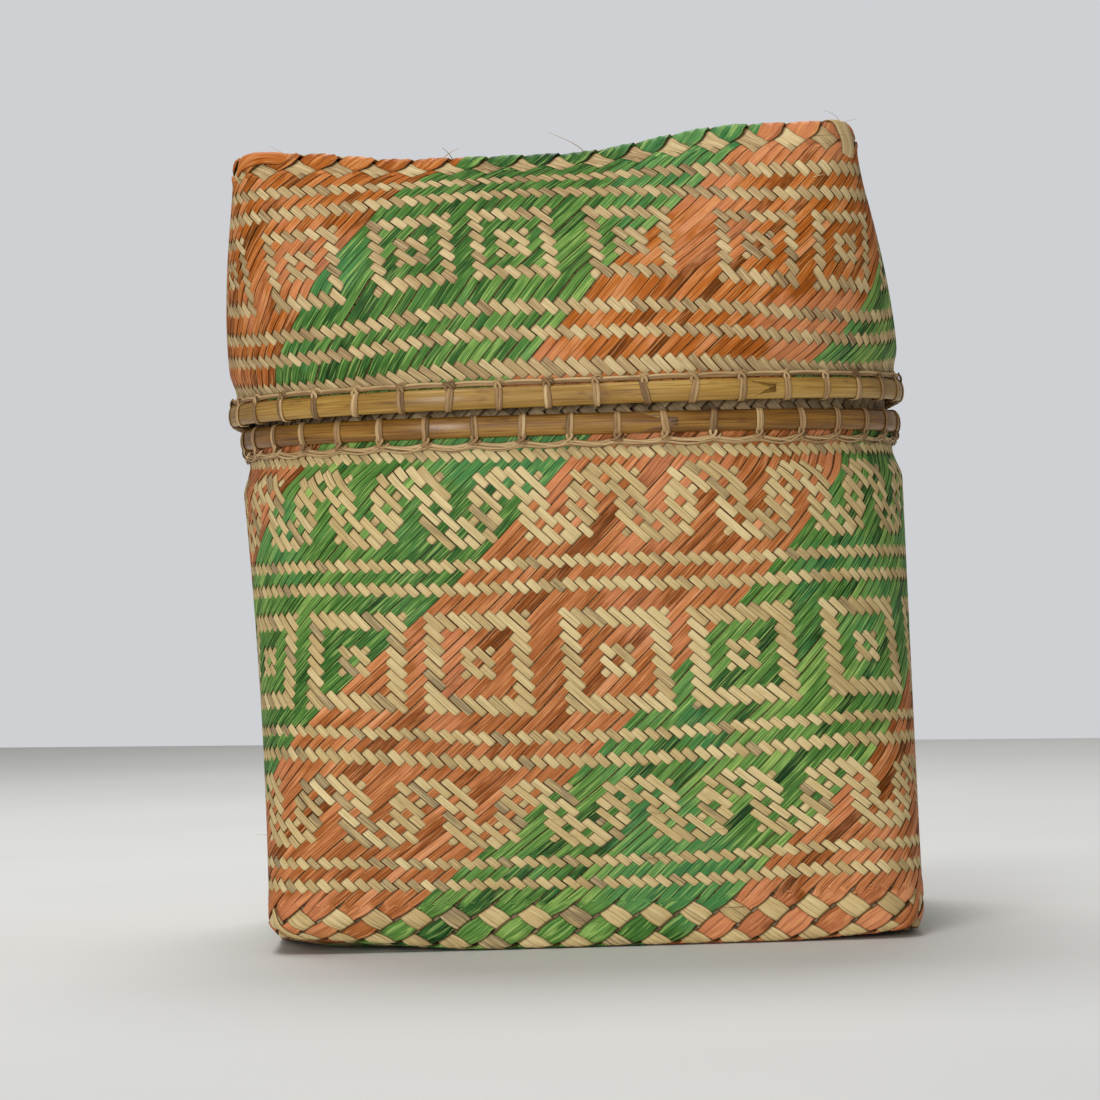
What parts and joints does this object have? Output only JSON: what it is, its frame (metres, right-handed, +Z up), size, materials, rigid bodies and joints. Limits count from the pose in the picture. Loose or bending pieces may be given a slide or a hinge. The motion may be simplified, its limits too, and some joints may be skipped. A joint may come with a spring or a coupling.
{
  "type": "plaited bamboo box with lift-off lid",
  "caption": "Square-based plaited bamboo box with a rounded mouth, a neck inside and a lift-off lid, its two rims lashed to split cane hoops.",
  "frame": {"origin": "middle of the flat underside the box rests on", "axes": "+Z up along the way the lid lifts, -Y towards the front seen in the picture, +X to its right"},
  "size_m": [0.2228, 0.2228, 0.2571],
  "materials": {
    "dyed_strip": "satin",
    "plain_strip": "matte",
    "body_cane": "satin",
    "lid_cane": "satin",
    "binding": "matte"
  },
  "bodies": {
    "box_body": {"body_outer_basket": "dyed_strip", "body_inner_basket": "plain_strip", "body_rim_hoop": "body_cane", "body_rim_lashing": "binding", "body_rim_garland": "binding"},
    "lid": {"lid_outer_basket": "dyed_strip", "lid_inner_basket": "plain_strip", "lid_rim_hoop": "lid_cane", "lid_rim_lashing": "binding"}
  },
  "joints": [
    {"name": "lid_lift", "type": "slide", "parent": "box_body", "child": "lid", "axis": [0, 0, 1], "range_m": [0, 0.28]}
  ]
}
